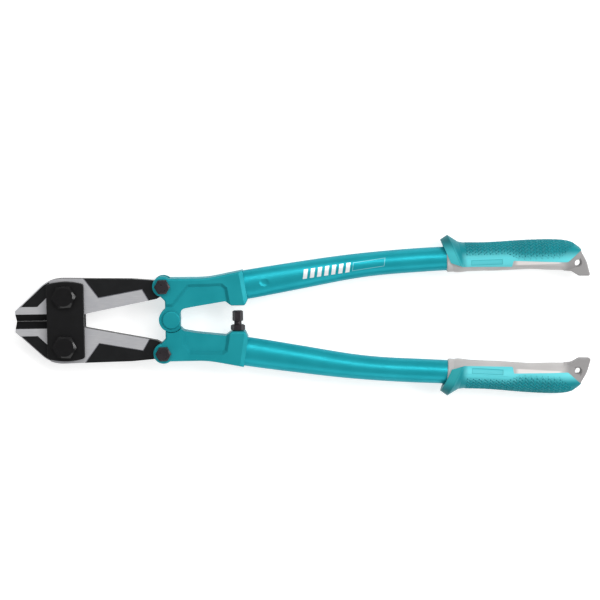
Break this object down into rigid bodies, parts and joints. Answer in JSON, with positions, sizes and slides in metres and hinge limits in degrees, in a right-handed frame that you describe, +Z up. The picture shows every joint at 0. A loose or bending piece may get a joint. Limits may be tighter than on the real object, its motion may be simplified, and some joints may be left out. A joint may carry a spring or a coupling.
{
  "type": "bolt cutters",
  "caption": "Two-handled compound-lever cutter: bevelled jaws between side plates, cast handle heads with a stop screw, bent tubes and guarded two-tone grips with hang holes.",
  "frame": {"origin": "centre of the tool's bounding box, on the surface it lies on", "axes": "+X from the jaws towards the grips, +Y towards the upper handle, +Z up through the tool's thickness"},
  "size_m": [0.4595, 0.1291, 0.0326],
  "materials": {
    "plate_black": "satin black",
    "jaw_steel": "ground steel faces with black painted panels",
    "fastener_black": "blackened steel",
    "teal_paint": "gloss teal enamel",
    "grip_grey": "satin grey plastic",
    "grip_teal": "knurled soft teal plastic"
  },
  "bodies": {
    "head": {"front_side_plate": "plate_black", "back_side_plate": "plate_black", "upper_jaw_bolt": "fastener_black", "lower_jaw_bolt": "fastener_black", "upper_jaw_nut": "fastener_black", "lower_jaw_nut": "fastener_black"},
    "upper_jaw": {"upper_jaw": "jaw_steel"},
    "lower_jaw": {"lower_jaw": "jaw_steel"},
    "pivot": {"centre_pivot_rivet": "teal_paint"},
    "upper_handle": {"upper_handle_casting": "teal_paint", "upper_link_bolt": "fastener_black", "upper_link_nut": "fastener_black", "upper_handle_tube": "teal_paint", "upper_grip_core": "grip_grey", "upper_grip_cover": "grip_teal"},
    "lower_handle": {"lower_handle_casting": "teal_paint", "lower_link_bolt": "fastener_black", "lower_link_nut": "fastener_black", "lower_handle_tube": "teal_paint", "lower_grip_core": "grip_grey", "lower_grip_cover": "grip_teal", "stop_lock_nut": "fastener_black"},
    "stop": {"stop_screw": "fastener_black"}
  },
  "joints": [
    {"name": "pivot_travel", "type": "slide", "parent": "head", "child": "pivot", "axis": [1, 0, 0], "range_m": [0, 0.0169]},
    {"name": "upper_handle_hinge", "type": "hinge", "parent": "pivot", "child": "upper_handle", "pos_m": [-0.1052, 0, 0.0161], "axis": [0, 0, 1], "range_deg": [0, 40]},
    {"name": "lower_handle_hinge", "type": "hinge", "parent": "pivot", "child": "lower_handle", "pos_m": [-0.1052, 0, 0.0161], "axis": [0, 0, 1], "range_deg": [-40, 0]},
    {"name": "upper_jaw_hinge", "type": "hinge", "parent": "head", "child": "upper_jaw", "pos_m": [-0.19, 0.02, 0.0161], "axis": [0, 0, 1], "range_deg": [-6.97, 0]},
    {"name": "lower_jaw_hinge", "type": "hinge", "parent": "head", "child": "lower_jaw", "pos_m": [-0.19, -0.02, 0.0161], "axis": [0, 0, 1], "range_deg": [0, 6.97]},
    {"name": "stop_screw_travel", "type": "slide", "parent": "lower_handle", "child": "stop", "axis": [0, 1, 0], "range_m": [-0.0024, 0.0024]}
  ],
  "couplings": [
    {"joint": "lower_handle_hinge", "follows": "upper_handle_hinge", "ratio": -1},
    {"joint": "pivot_travel", "follows": "upper_handle_hinge", "m_per_rad": 0.02385},
    {"joint": "upper_jaw_hinge", "follows": "upper_handle_hinge", "ratio": -0.1729},
    {"joint": "lower_jaw_hinge", "follows": "upper_handle_hinge", "ratio": 0.1729}
  ]
}
